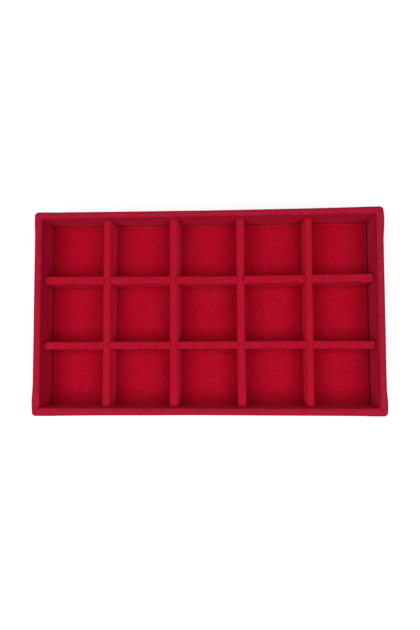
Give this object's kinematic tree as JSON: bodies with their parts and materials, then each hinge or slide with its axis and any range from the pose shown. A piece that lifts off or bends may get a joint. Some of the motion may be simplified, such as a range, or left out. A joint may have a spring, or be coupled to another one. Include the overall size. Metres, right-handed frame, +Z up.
{
  "type": "jewelry display tray",
  "caption": "Open velvet-covered tray with mitred walls, a padded floor and a lift-out grid of slotted dividers that makes square compartments.",
  "frame": {"origin": "middle of the underside, at the surface the tray stands on", "axes": "+X to the right along the long side, +Y to the back, +Z up out of the open top"},
  "size_m": [0.35, 0.205, 0.05],
  "materials": {
    "red_velvet": "short-pile velvet",
    "lining_felt": "thin felt",
    "pad_foam": "thin open-cell foam",
    "grey_card": "grey board",
    "fibreboard": "bare fibreboard",
    "steel_wire": "plain wire"
  },
  "bodies": {
    "tray": {"underside_cover": "lining_felt", "base_board": "fibreboard", "base_brads": "steel_wire", "corner_brads": "steel_wire", "front_wall_board": "fibreboard", "front_wall_velvet": "red_velvet", "back_wall_board": "fibreboard", "back_wall_velvet": "red_velvet", "left_wall_board": "fibreboard", "left_wall_velvet": "red_velvet", "right_wall_board": "fibreboard", "right_wall_velvet": "red_velvet", "floor_card": "grey_card", "floor_foam": "pad_foam", "floor_velvet": "red_velvet"},
    "long_dividers": {"long_divider_1_board": "fibreboard", "long_divider_1_velvet": "red_velvet", "long_divider_2_board": "fibreboard", "long_divider_2_velvet": "red_velvet"},
    "cross_divider_1": {"cross_divider_1_board": "fibreboard", "cross_divider_1_velvet": "red_velvet"},
    "cross_divider_2": {"cross_divider_2_board": "fibreboard", "cross_divider_2_velvet": "red_velvet"},
    "cross_divider_3": {"cross_divider_3_board": "fibreboard", "cross_divider_3_velvet": "red_velvet"},
    "cross_divider_4": {"cross_divider_4_board": "fibreboard", "cross_divider_4_velvet": "red_velvet"}
  },
  "joints": [
    {"name": "divider_grid_lift", "type": "slide", "parent": "tray", "child": "long_dividers", "axis": [0, 0, 1], "range_m": [0, 0.055]},
    {"name": "cross_divider_1_lift", "type": "slide", "parent": "long_dividers", "child": "cross_divider_1", "axis": [0, 0, 1], "range_m": [0, 0.035]},
    {"name": "cross_divider_2_lift", "type": "slide", "parent": "long_dividers", "child": "cross_divider_2", "axis": [0, 0, 1], "range_m": [0, 0.035]},
    {"name": "cross_divider_3_lift", "type": "slide", "parent": "long_dividers", "child": "cross_divider_3", "axis": [0, 0, 1], "range_m": [0, 0.035]},
    {"name": "cross_divider_4_lift", "type": "slide", "parent": "long_dividers", "child": "cross_divider_4", "axis": [0, 0, 1], "range_m": [0, 0.035]}
  ]
}
